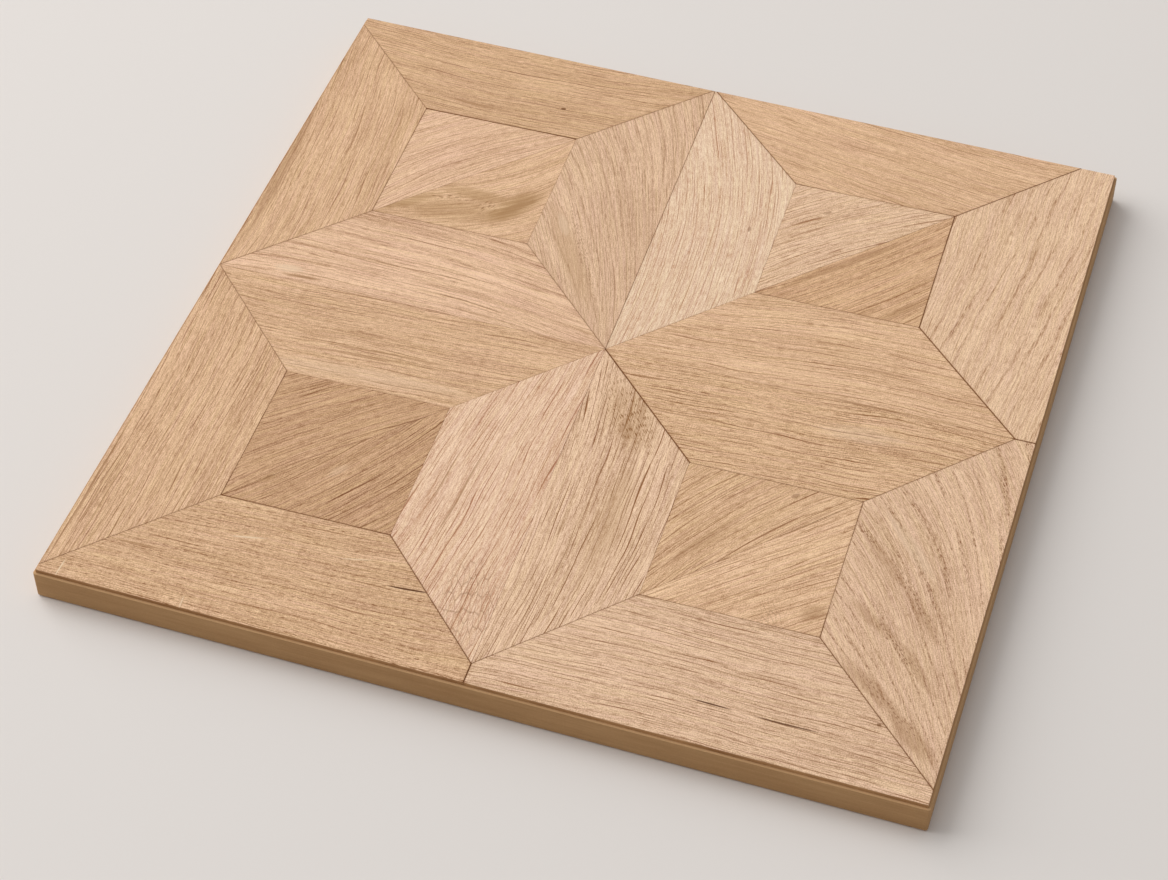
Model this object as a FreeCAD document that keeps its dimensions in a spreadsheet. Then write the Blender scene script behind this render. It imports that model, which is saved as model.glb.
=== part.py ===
import FreeCAD, Part
import Sketcher
import math
import os

# Parquet block: a square core board faced with a mosaic of mitred oak.
#
# Four square frames of mitred strips lie edge to edge in a two by two grid. Their inner strips
# pair up along the joints between the frames into the four petals of a star. The hole of each
# frame is filled by a square insert, cut corner to corner from front left to back right.
# The mosaic is laid oversize and then trimmed square, a little inside the edges of the core.
#
# Millimetres. +X to the right, +Y to the back, +Z up, origin in the middle of the underside.

# Driving sizes: name, value, what it measures
SIZES = [
    ("board_side", 400.0, "edge of the square core board"),
    ("core_thickness", 15.0, "core board"),
    ("oak_thickness", 2.0, "oak face layer"),
    ("edge_reveal", 1.2, "ledge of core that stays bare round the trimmed oak"),
    ("strip_width", 57.0, "strip of a frame, from joint to joint"),
    ("border_surplus", 9.6, "oak past the grid of frames, on two opposite edges together"),
    ("joint_gap", 0.2, "hairline between two neighbours"),
    ("mosaic_turn", 1.0, "degrees that the mosaic lies out of parallel with the trimmed edges"),
    ("star_right", -4.6, "centre of the star, to the right of the middle of the board"),
    ("star_back", 5.6, "centre of the star, to the back of the middle of the board"),
]

# Lengths that follow from the driving sizes, as expressions
HALF_GAP = "sizes.joint_gap / 2"
HALF_OAK = "(sizes.board_side / 2 - sizes.edge_reveal)"
HALF_FRAME = f"(({HALF_OAK} - sizes.border_surplus / 2) / 2)"
HALF_INSERT = f"({HALF_FRAME} - sizes.strip_width)"
NEAR_SIDE = f"({HALF_INSERT} + {HALF_GAP})"
NEAR_CORNER = f"({NEAR_SIDE} - sizes.joint_gap / sqrt(2))"
INSERT_CORNER = f"({HALF_INSERT} - {HALF_GAP})"
INSERT_LEG = f"(2 * {HALF_INSERT} - sizes.joint_gap * (1 + 1 / sqrt(2)))"

# The origin, as a sketch counts its own lines and points
ORIGIN = (-1, 1)

# Rough corners that a sketch starts from, before its dimensions pull it into place
ROUGH_NEAR, ROUGH_FAR, ROUGH_OUTER = 40.0, 97.0, 200.0

# Frames of the grid: where each lies from the centre of the star, to the right and to the back
FRAMES = {
    "back_left": (-1, 1),
    "back_right": (1, 1),
    "front_left": (-1, -1),
    "front_right": (1, -1),
}

# Sides of a frame: the direction that each looks in, to the right and to the back
SIDES = {"back": (0, 1), "left": (-1, 0), "front": (0, -1), "right": (1, 0)}
OPPOSITE = {"back": "front", "front": "back", "left": "right", "right": "left"}

doc = FreeCAD.newDocument("parquet_block")


def fill_sheet():
    """Writes the driving sizes to the spreadsheet, one a row, with the names as aliases."""
    sheet = doc.addObject("Spreadsheet::Sheet", "sizes")
    for row, (alias, value, meaning) in enumerate(SIZES, start=1):
        sheet.set(f"A{row}", alias)
        sheet.set(f"B{row}", str(value))
        sheet.set(f"C{row}", meaning)
        sheet.setAlias(f"B{row}", alias)


def sketch_on_base(body, corners):
    """Starts a closed outline of straight lines through the corners, on the body's base plane."""
    sketch = body.newObject("Sketcher::SketchObject", f"{body.Name}_outline")
    base = [plane for plane in body.Origin.OriginFeatures if plane.Role == "XY_Plane"]
    sketch.AttachmentSupport = [(base[0], "")]
    sketch.MapMode = "FlatFace"
    for here, there in zip(corners, corners[1:] + corners[:1]):
        sketch.addGeometry(Part.LineSegment(FreeCAD.Vector(*here, 0), FreeCAD.Vector(*there, 0)))
    for line in range(len(corners)):
        sketch.addConstraint(Sketcher.Constraint("Coincident", line, 2, (line + 1) % len(corners), 1))
    return sketch


def dimension(sketch, name, kind, ends, expression):
    """Adds a named length along X or Y between two points, bound to the sheet."""
    (line_a, end_a), (line_b, end_b) = ends
    points = [sketch.getPoint(line_a, end_a), sketch.getPoint(line_b, end_b)]
    length = points[1].x - points[0].x if kind == "DistanceX" else points[1].y - points[0].y
    index = sketch.addConstraint(Sketcher.Constraint(kind, line_a, end_a, line_b, end_b, length))
    sketch.renameConstraint(index, name)
    sketch.setExpression(f"Constraints.{name}", expression)


def pad(body, sketch, thickness):
    """Thickens the outline upwards."""
    feature = body.newObject("PartDesign::Pad", f"{body.Name}_pad")
    feature.Profile = sketch
    feature.setExpression("Length", thickness)
    body.Tip = feature


def lay_in_mosaic(body, frame, angle):
    """Places a body, drawn about the centre of its frame, on the core: turned with the mosaic."""
    right, back = FRAMES[frame]
    across = f"({right} * cos(sizes.mosaic_turn) - {back} * sin(sizes.mosaic_turn))"
    along = f"({right} * sin(sizes.mosaic_turn) + {back} * cos(sizes.mosaic_turn))"
    body.Placement = FreeCAD.Placement(FreeCAD.Vector(), FreeCAD.Rotation(FreeCAD.Vector(0, 0, 1), 1))
    body.setExpression("Placement.Base.x", f"sizes.star_right + {HALF_FRAME} * {across}")
    body.setExpression("Placement.Base.y", f"sizes.star_back + {HALF_FRAME} * {along}")
    body.setExpression("Placement.Base.z", "sizes.core_thickness")
    body.setExpression("Placement.Rotation.Angle", f"sizes.mosaic_turn + {angle}")


def make_core():
    """The square core board, flat and with plain square edges."""
    body = doc.addObject("PartDesign::Body", "core_board")
    half = ROUGH_OUTER
    sketch = sketch_on_base(body, [(-half, -half), (half, -half), (half, half), (-half, half)])
    sketch.addConstraint(Sketcher.Constraint("Horizontal", 0))
    sketch.addConstraint(Sketcher.Constraint("Vertical", 1))
    sketch.addConstraint(Sketcher.Constraint("Symmetric", 0, 1, 1, 2, *ORIGIN))
    sketch.addConstraint(Sketcher.Constraint("Horizontal", 2))
    sketch.addConstraint(Sketcher.Constraint("Vertical", 3))
    dimension(sketch, "depth", "DistanceY", [(1, 1), (1, 2)], "sizes.board_side")
    dimension(sketch, "breadth", "DistanceX", [(0, 1), (0, 2)], "sizes.board_side")
    pad(body, sketch, "sizes.core_thickness")
    return body


def make_trim_square():
    """The square that the laid mosaic is trimmed to, as thick as the oak."""
    square = doc.addObject("Part::Box", "trim_square")
    square.setExpression("Length", f"2 * {HALF_OAK}")
    square.setExpression("Width", f"2 * {HALF_OAK}")
    square.setExpression("Height", "sizes.oak_thickness")
    square.setExpression("Placement.Base.x", f"-{HALF_OAK}")
    square.setExpression("Placement.Base.y", f"-{HALF_OAK}")
    square.setExpression("Placement.Base.z", "sizes.core_thickness")
    return square


def trim(name, body, square):
    """Cuts a laid strip along the edges of the trimmed square."""
    trimmed = doc.addObject("Part::Common", name)
    trimmed.Base = body
    trimmed.Tool = square
    return trimmed


def side_angle(side):
    """Degrees from the back to the direction that the side looks in, counterclockwise."""
    right, back = SIDES[side]
    return round(math.degrees(math.atan2(-right, back)))


def mitre_angle(hand):
    """Direction of a mitre that leans to the right (1) or to the left (-1), from the X axis."""
    return math.radians(90 - 45 * hand)


def petal_half(name, frame, side):
    """An inner strip: mitred at both ends, with its long side on the joint between two frames."""
    body = doc.addObject("PartDesign::Body", f"{name}_blank")
    near, far = ROUGH_NEAR, ROUGH_FAR
    sketch = sketch_on_base(body, [(-near, near), (near, near), (far, far), (-far, far)])
    sketch.addConstraint(Sketcher.Constraint("Horizontal", 0))
    sketch.addConstraint(Sketcher.Constraint("Horizontal", 2))
    sketch.addConstraint(Sketcher.Constraint("Angle", 1, mitre_angle(1)))
    sketch.addConstraint(Sketcher.Constraint("Perpendicular", 1, 3))
    dimension(sketch, "seat", "DistanceY", [ORIGIN, (0, 1)], NEAR_SIDE)
    dimension(sketch, "near_left", "DistanceX", [(0, 1), ORIGIN], NEAR_CORNER)
    dimension(sketch, "near_right", "DistanceX", [ORIGIN, (0, 2)], NEAR_CORNER)
    dimension(sketch, "width", "DistanceY", [(0, 1), (2, 2)], "sizes.strip_width - sizes.joint_gap")
    pad(body, sketch, "sizes.oak_thickness")
    lay_in_mosaic(body, frame, side_angle(side))
    return body


def border_blank(name, frame, side):
    """An outer strip, wide enough to be trimmed: its mitres meet the petal's tip and run to the corner.

    Past the tip of the petal the strip butts against its neighbour of the next frame.
    """
    right, back = SIDES[side]
    frame_right, frame_back = FRAMES[frame]
    hand = round(-(frame_right * back - frame_back * right))
    body = doc.addObject("PartDesign::Body", f"{name}_blank")
    near, tip, outer = ROUGH_NEAR, ROUGH_FAR, ROUGH_OUTER
    corners = [(-near, near), (near, near), (tip, tip), (tip, outer), (-outer, outer)]
    sketch = sketch_on_base(body, [(hand * across, along) for across, along in corners])
    sketch.addConstraint(Sketcher.Constraint("Horizontal", 0))
    sketch.addConstraint(Sketcher.Constraint("Angle", 1, mitre_angle(hand)))
    sketch.addConstraint(Sketcher.Constraint("Vertical", 2))
    sketch.addConstraint(Sketcher.Constraint("Horizontal", 3))
    sketch.addConstraint(Sketcher.Constraint("Perpendicular", 1, 4))
    dimension(sketch, "seat", "DistanceY", [ORIGIN, (0, 1)], NEAR_SIDE)
    dimension(sketch, "near_corner", "DistanceX", [(0, 1), ORIGIN], f"{hand} * {NEAR_CORNER}")
    dimension(sketch, "near_petal", "DistanceX", [ORIGIN, (0, 2)], f"{hand} * {NEAR_CORNER}")
    dimension(sketch, "butt_joint", "DistanceX", [ORIGIN, (2, 1)], f"{hand} * ({HALF_FRAME} - {HALF_GAP})")
    dimension(sketch, "reach", "DistanceY", [ORIGIN, (3, 1)], "sizes.board_side / 2")
    pad(body, sketch, "sizes.oak_thickness")
    lay_in_mosaic(body, frame, side_angle(side))
    return body


def insert_half(name, frame, angle):
    """Half of a square insert: a right triangle whose long side lies on the diagonal joint."""
    body = doc.addObject("PartDesign::Body", name)
    near = ROUGH_NEAR
    sketch = sketch_on_base(body, [(-near, near), (-near, -near), (near, near)])
    sketch.addConstraint(Sketcher.Constraint("Vertical", 0))
    sketch.addConstraint(Sketcher.Constraint("Horizontal", 2))
    dimension(sketch, "corner_right", "DistanceX", [(0, 1), ORIGIN], INSERT_CORNER)
    dimension(sketch, "corner_back", "DistanceY", [ORIGIN, (0, 1)], INSERT_CORNER)
    dimension(sketch, "leg_across", "DistanceX", [(2, 2), (2, 1)], INSERT_LEG)
    dimension(sketch, "leg_along", "DistanceY", [(0, 2), (0, 1)], INSERT_LEG)
    pad(body, sketch, "sizes.oak_thickness")
    lay_in_mosaic(body, frame, angle)
    return body


def make_frame(frame, square):
    """One frame: two border strips, two petal halves and the two halves of the insert."""
    sides = frame.split("_")
    pieces = []
    for side, half in (sides, sides[::-1]):
        border = f"border_{side}_{half}"
        petal = f"petal_{side}_{half}_half"
        pieces.append(trim(border, border_blank(border, frame, side), square))
        pieces.append(trim(petal, petal_half(petal, frame, OPPOSITE[half]), square))
    pieces.append(insert_half(f"insert_{frame}_rear_half", frame, 0))
    pieces.append(insert_half(f"insert_{frame}_fore_half", frame, 180))
    return pieces


def check():
    """Stops if anything in the document failed to build."""
    for item in doc.Objects:
        if "Invalid" in item.State or "Error" in item.State:
            raise RuntimeError(f"{item.Label} failed: {item.State}")


def export(pieces):
    """Writes each piece, once it is known to be one sound solid, to a file of its own."""
    os.makedirs("parts", exist_ok=True)
    for piece in pieces:
        shape = piece.Shape
        if shape.isNull() or not shape.isValid() or len(shape.Solids) != 1:
            raise RuntimeError(f"{piece.Label} is not one sound solid")
        shape.exportStep(f"parts/{piece.Label}.step")


fill_sheet()
trim_square = make_trim_square()
block = [make_core()]
for frame_name in FRAMES:
    block.extend(make_frame(frame_name, trim_square))
doc.recompute()
check()
export(block)
for piece in block:
    print(f"{piece.Label}: {piece.Shape.Volume:.1f} mm3")
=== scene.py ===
import logging
import math
from dataclasses import dataclass, field
from enum import Enum
from functools import partial
from itertools import permutations
from typing import Optional, Union

import bmesh
import bpy
import numpy as np
from bpy.types import ID, Material, Node, NodeSocket, NodeTree, Object
from mathutils import Matrix, Vector


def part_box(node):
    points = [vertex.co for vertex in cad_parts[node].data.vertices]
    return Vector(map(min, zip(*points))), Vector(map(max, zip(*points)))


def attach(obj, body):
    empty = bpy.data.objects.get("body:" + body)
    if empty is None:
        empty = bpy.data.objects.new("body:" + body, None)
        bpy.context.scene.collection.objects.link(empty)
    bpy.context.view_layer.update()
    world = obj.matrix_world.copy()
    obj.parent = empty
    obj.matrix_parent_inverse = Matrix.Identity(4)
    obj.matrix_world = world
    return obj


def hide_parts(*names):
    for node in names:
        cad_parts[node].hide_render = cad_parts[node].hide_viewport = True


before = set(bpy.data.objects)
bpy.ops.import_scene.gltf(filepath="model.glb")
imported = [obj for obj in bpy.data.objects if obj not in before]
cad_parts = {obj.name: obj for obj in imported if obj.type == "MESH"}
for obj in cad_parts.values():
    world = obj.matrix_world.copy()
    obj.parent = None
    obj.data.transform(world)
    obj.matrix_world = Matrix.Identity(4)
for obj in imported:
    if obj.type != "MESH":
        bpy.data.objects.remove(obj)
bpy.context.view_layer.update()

MM = 0.001
SAME_POINT = 1e-7
SHARP_EDGE = math.radians(50)

log = logging.getLogger("parquet_block")

Number = Union[float, np.ndarray, "Term"]


# Shader arithmetic

class Graph:
    """The nodes of one material or world, and the one method that adds to them."""

    def __init__(self, tree: NodeTree) -> None:
        """Empties the tree of a material or world and keeps it."""
        self.tree = tree
        tree.nodes.clear()

    def node(self, kind: str, settings: Optional[dict] = None, inputs: Optional[dict] = None) -> Node:
        """Adds a node: settings first, then the values or links of its sockets.

        Args:
            kind: node type without its ShaderNode, such as Math.
            settings: properties of the node by name.
            inputs: numbers, tuples, sockets or Terms, by socket name or index.

        Returns:
            The new node.
        """
        node = self.tree.nodes.new(f"ShaderNode{kind}")
        for name, value in (settings or {}).items():
            setattr(node, name, value)
        for key, value in (inputs or {}).items():
            socket = node.inputs[key]
            if isinstance(value, Term):
                value = value.socket
            if isinstance(value, NodeSocket):
                self.tree.links.new(value, socket)
            else:
                socket.default_value = value
        return node

    def term(self, kind: str, settings: dict, inputs: dict, output: Union[str, int] = 0) -> "Term":
        """Adds a node and returns one of its outputs, by name or number, as a Term."""
        return Term(self, self.node(kind, settings, inputs).outputs[output])

    def blend(self, factor: Number, first: object, second: object) -> NodeSocket:
        """Mixes two colours or colour sockets, 0 for the first and 1 for the second."""
        return self.node("Mix", {"data_type": "RGBA"}, {0: factor, 6: first, 7: second}).outputs[2]

    def attribute(self, name: str) -> "Term":
        """The value that the points of the mesh carry under a name."""
        return self.term("Attribute", {"attribute_name": name}, {}, "Fac")

    def noise(self, vector: NodeSocket, detail: float, kind: str = "2D", roughness: float = 0.6) -> "Term":
        """Noise in patches about one unit wide.

        Args:
            vector: coordinates.
            detail: octaves.
            kind: 2D or 3D.
            roughness: strength of each octave beside the one before.

        Returns:
            0 to 1, about 0.5 on average.
        """
        inputs = {"Vector": vector, "Scale": 1.0, "Detail": detail, "Roughness": roughness}
        return self.term("TexNoise", {"noise_dimensions": kind}, inputs, "Fac")


class Surface(Graph):
    """The nodes of a new material."""

    def __init__(self, name: str) -> None:
        """Makes the material.

        Args:
            name: its name.
        """
        self.material = bpy.data.materials.new(name)
        self.material.use_nodes = True
        super().__init__(self.material.node_tree)

    def shade(self, colour: object, roughness: Number, specular: float, relief: Optional[dict] = None
              ) -> Material:
        """Ends the material in one Principled shader.

        Args:
            colour: base colour or its socket.
            roughness: 0 to 1.
            specular: how strongly it reflects.
            relief: inputs of the Bump node, if it has one.

        Returns:
            The material.
        """
        inputs = {"Base Color": colour, "Roughness": roughness, "Specular IOR Level": specular}
        if relief:
            inputs["Normal"] = self.node("Bump", {}, relief).outputs[0]
        shader = self.node("BsdfPrincipled", {}, inputs)
        self.node("OutputMaterial", {}, {0: shader.outputs[0]})
        return self.material


class Term(np.lib.mixins.NDArrayOperatorsMixin):
    """A number that varies over a surface: an operator or numpy function on it adds a Math node.

    So the same formula works on Terms and on arrays.
    """

    OPERATIONS = {
        np.add: "ADD", np.subtract: "SUBTRACT", np.multiply: "MULTIPLY", np.minimum: "MINIMUM", np.maximum: "MAXIMUM",
        np.floor: "FLOOR", np.absolute: "ABSOLUTE", np.sin: "SINE", np.sqrt: "SQRT", np.exp: "EXPONENT"}

    def __init__(self, graph: Graph, socket: NodeSocket) -> None:
        """Wraps an output socket that carries a number."""
        self.graph = graph
        self.socket = socket

    def __array_ufunc__(self, function: np.ufunc, method: str, *values: Number) -> "Term":
        """Adds the Math node that does what a numpy function does, such as np.add for a plus sign."""
        return self.graph.term("Math", {"operation": self.OPERATIONS[function]}, dict(enumerate(values)))


def fraction(value: Number) -> Number:
    """What is left above the whole number."""
    return value - np.floor(value)


def clamped(value: Number) -> Number:
    """The value held between 0 and 1."""
    return np.minimum(np.maximum(value, 0.0), 1.0)


def rise(value: Number, low: float, high: float) -> Number:
    """Smooth step from 0 at low to 1 at high: t * t * (3 - 2 t), t being the clamped share of the way."""
    share = clamped((value - low) * (1.0 / (high - low)))
    return share * share * (3.0 - 2.0 * share)


def linear(colour: tuple) -> tuple:
    """Turns a colour as a screen shows it, 0 to 255, into a linear one with alpha, by the sRGB curve."""
    shares = [channel / 255.0 for channel in colour]
    return (*(s / 12.92 if s <= 0.04045 else ((s + 0.055) / 1.055) ** 2.4 for s in shares), 1.0)


def shifted(colour: tuple, steps: tuple) -> tuple:
    """Adds steps to the channels of a colour and keeps them within 0 to 255."""
    return tuple(min(255, max(0, value + step)) for value, step in zip(colour, steps))


# Oak

class Tone(Enum):
    """Tones of oiled oak, as a screen shows them."""

    PALE = (245, 195, 163)
    LIGHT = (226, 186, 151)
    ROSY = (218, 181, 147)
    WARM = (219, 179, 140)
    TAN = (214, 174, 134)
    HONEY = (210, 168, 127)
    BROWN = (202, 160, 120)


@dataclass(frozen=True)
class Patch:
    """One patch, or one cell, of a pattern that is drawn out along the grain.

    Attributes:
        length: mm along the grain.
        width: mm across it.
        shift: turns the pattern into another one.
        detail: octaves of a noise.
    """

    length: float
    width: float
    shift: float
    detail: float = 1.0


@dataclass(frozen=True)
class MarkLook:
    """How a kind of mark looks.

    Attributes:
        colour: as a screen shows it.
        fade: share of the way from its rim to its middle over which it comes in.
        fray: how far noise pushes its rim.
        cell: cell of the pattern that it is made of, if it is.
        net: True for thin lines round those cells, False for a dash in each.
    """

    colour: tuple
    fade: float
    fray: float
    cell: Optional[Patch] = None
    net: bool = False


class MarkKind(Enum):
    """Marks in the wood."""

    STAIN = MarkLook((178, 138, 92), fade=1.0, fray=1.5)
    PALE = MarkLook((237, 207, 174), fade=1.0, fray=1.1)
    STREAK = MarkLook((160, 116, 74), fade=0.9, fray=0.9)
    CHECK = MarkLook((92, 52, 20), fade=0.6, fray=0.5)
    PIN_KNOT = MarkLook((122, 78, 40), fade=0.7, fray=0.3)
    SCRATCH = MarkLook((240, 214, 180), fade=0.8, fray=0.6)
    CHECKS = MarkLook((150, 110, 78), fade=0.8, fray=0.8, cell=Patch(9.0, 2.2, 31.0), net=True)
    CRUMBS = MarkLook((144, 98, 52), fade=0.9, fray=1.2, cell=Patch(4.2, 0.9, 31.0))
    PORES = MarkLook((136, 90, 52), fade=0.9, fray=0.9, cell=Patch(2.6, 0.9, 31.0))


@dataclass(frozen=True)
class Mark:
    """A stain, streak, pin knot or fine crack at a place of the face.

    Attributes:
        kind: which mark it is.
        right: mm to the right of the middle of the block.
        back: mm to the back of the middle of the block.
        length: mm from its middle to its end.
        width: mm from its middle to its side.
        strength: 0 to 1.
        heading: degrees counterclockwise from the way to the right, or None for along the grain.
    """

    kind: MarkKind
    right: float
    back: float
    length: float
    width: float
    strength: float = 0.5
    heading: Optional[float] = None


# A maker of marks for each kind, in the order of MarkKind.
stain, pale_patch, streak, check, pin_knot, scratch, check_net, crumbs, pore_patch = (
    partial(Mark, kind) for kind in MarkKind)


def turned(right: Number, back: Number, heading: float) -> tuple:
    """Turns mm to the right and to the back into mm along a heading and mm to the left of it."""
    cos, sin = math.cos(math.radians(heading)), math.sin(math.radians(heading))
    return right * cos + back * sin, back * cos - right * sin


@dataclass(frozen=True)
class Figure:
    """How a strip was sawn out of its log, which sets the figure on its face.

    Rings lie round the pith, which runs beside and under the face. Where the log bends their traces
    bend, where it swells they fan out, and where it tapers they slant across the fibres.

    Attributes:
        heading: direction of the fibres, in degrees counterclockwise from the way to the right.
        bend: degrees by which the heading turns over 100 mm along the grain.
        fan: degrees by which the heading turns over 100 mm across it, to the left.
        taper: mm that the rings climb across the face for each mm along it.
        ring: mean width of a ring, mm.
        wander: how far the grain wanders sideways, mm.
        pith_across: mm from the middle of the piece to the pith, to the left of the heading.
        pith_depth: mm from the face down to the pith.
        seed: turns the wander and the fibres into others.
    """

    heading: float
    bend: float = 0.0
    fan: float = 0.0
    taper: float = 0.0
    ring: float = 3.6
    wander: float = 1.0
    pith_across: float = 170.0
    pith_depth: float = 30.0
    seed: float = 0.0

    # Waves of the wander: mm along and across for a radian, turn by the seed, share of the wander.
    SWAYS = ((39.0, 83.0, 1.0, 1.0), (14.0, 23.0, 2.3, 0.3), (5.1, -7.7, 3.7, 0.1))
    # Waves of the rings' width: mm of growth for a radian, turn by the seed, mm to a side.
    SWELLS = ((19.0, 1.0, 2.2), (5.3, 1.7, 0.9), (2.1, 2.9, 0.35))
    # Shares of the early wood's breadth at which it is full, and from which it fades.
    EARLY_FULL = (0.25, 0.4)

    def swayed(self, along: Number, across: Number, fanned: float = 1.0) -> Number:
        """Way across the grain once its fan, its bend and its wander are taken out.

        The fan takes a factor exp(-fan * along) and the bend bend / 2 * along squared, with both as
        angles in radians per mm. The wander is three sines of the way along.

        Args:
            along: mm along the grain from the middle of the piece.
            across: mm across it.
            fanned: share of the fan that is taken out.

        Returns:
            mm across the grain.
        """
        fan, bend = math.radians(self.fan) / 100.0 * fanned, math.radians(self.bend) / 100.0
        sway = across * np.exp(along * -fan) - along * along * (bend / 2.0)
        for long, wide, turn, share in self.SWAYS:
            angle = along * (1.0 / long) + across * (1.0 / wide) + turn * self.seed
            sway = sway + np.sin(angle) * (share * self.wander)
        return sway

    def growth(self, along: Number, across: Number, down: Number = 0.0) -> Number:
        """How many mm of growth lie between the pith and a place.

        That is the root of the squares of the way across and of the depth, plus the taper. Three sines of
        the result make some rings wide and others narrow.

        Args:
            along: mm along the grain from the middle of the piece.
            across: mm across it, fan, bend and wander taken out.
            down: mm below the face.

        Returns:
            mm of growth.
        """
        aside = across - self.pith_across
        depth = self.pith_depth - down
        growth = np.sqrt(aside * aside + depth * depth) + along * self.taper
        waves = [np.sin(growth * (1.0 / wide) + turn * self.seed) * height for wide, turn, height in self.SWELLS]
        return growth + waves[0] + waves[1] + waves[2]

    def early_wood(self, growth: Number, breadth: float = 0.3) -> Number:
        """The porous start of each ring: a pulse, sharp at the ring's inner side and soft at its outer one.

        Args:
            growth: mm of growth from the pith.
            breadth: share of the ring that the pulse takes.

        Returns:
            0 in the dense late wood to 1 in the pores.
        """
        share = fraction(growth * (1.0 / self.ring))
        full, fading = (part * breadth for part in self.EARLY_FULL)
        return rise(share, 0.0, full) * rise(share, breadth, fading)


@dataclass(frozen=True)
class GrainField:
    """Where a point of a piece lies in its grain, and the patterns that are drawn out along it.

    Attributes:
        graph: nodes of the material.
        right: mm to the right of the middle of the piece.
        back: mm to the back of it.
        along: mm along the grain.
        fibre: mm across the fibres.
        growth: mm across the rings.
        seed: turns the patterns into others.
    """

    graph: Graph
    right: Term
    back: Term
    along: Term
    fibre: Term
    growth: Term
    seed: float

    # Patches by which a seed turns a pattern. Distances at which a dash ends and is full, and its chances. Distances
    # at which a line of a net ends and is full, and how far its cells stray from a grid.
    SEED_TURN = 5.7
    DASH_HALF = (0.36, 0.162)
    DASH_CHANCES = (0.15, 0.75)
    NET_LINE = (0.1, 0.01)
    NET_STREWN = 0.9

    def spot(self, along: Number, across: Number, patch: Patch) -> NodeSocket:
        """Coordinates in which a patch is one unit long and one wide."""
        turn = self.seed * self.SEED_TURN + patch.shift
        inputs = {0: along * (1.0 / patch.length) + turn, 1: across * (1.0 / patch.width) + patch.shift}
        return self.graph.node("CombineXYZ", {}, inputs).outputs[0]

    def noise(self, across: Term, patch: Patch) -> Term:
        """Noise drawn out along the grain, 0 to 1, with fibre or growth as the way across it."""
        return self.graph.noise(self.spot(self.along, across, patch), patch.detail)

    def cells(self, along: Term, across: Term, patch: Patch, feature: str, strewn: float) -> Node:
        """Adds a Voronoi pattern, with its cells in a grid for strewn 0 and at random for 1."""
        inputs = {"Vector": self.spot(along, across, patch), "Scale": 1.0, "Randomness": strewn}
        return self.graph.node("TexVoronoi", {"voronoi_dimensions": "2D", "feature": feature}, inputs)

    def dashes(self, along: Term, across: Term, patch: Patch) -> Term:
        """Dashes strewn along the grain: one spindle in each cell, faint or strong by the cell's own chance.

        Args:
            along: the coordinate along them.
            across: the coordinate across them.
            patch: size of a cell.

        Returns:
            0 between them to 1 in the middle of a strong one.
        """
        cells = self.cells(along, across, patch, "F1", 1.0)
        chance = self.graph.term("SeparateColor", {}, {0: cells.outputs["Color"]})
        return rise(Term(self.graph, cells.outputs["Distance"]), *self.DASH_HALF) * rise(chance, *self.DASH_CHANCES)

    def net(self, along: Term, across: Term, patch: Patch) -> Term:
        """A net of thin lines round cells drawn out one way: 0 in the cells to 1 on the lines."""
        cells = self.cells(along, across, patch, "DISTANCE_TO_EDGE", self.NET_STREWN)
        return rise(Term(self.graph, cells.outputs["Distance"]), *self.NET_LINE)


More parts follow.
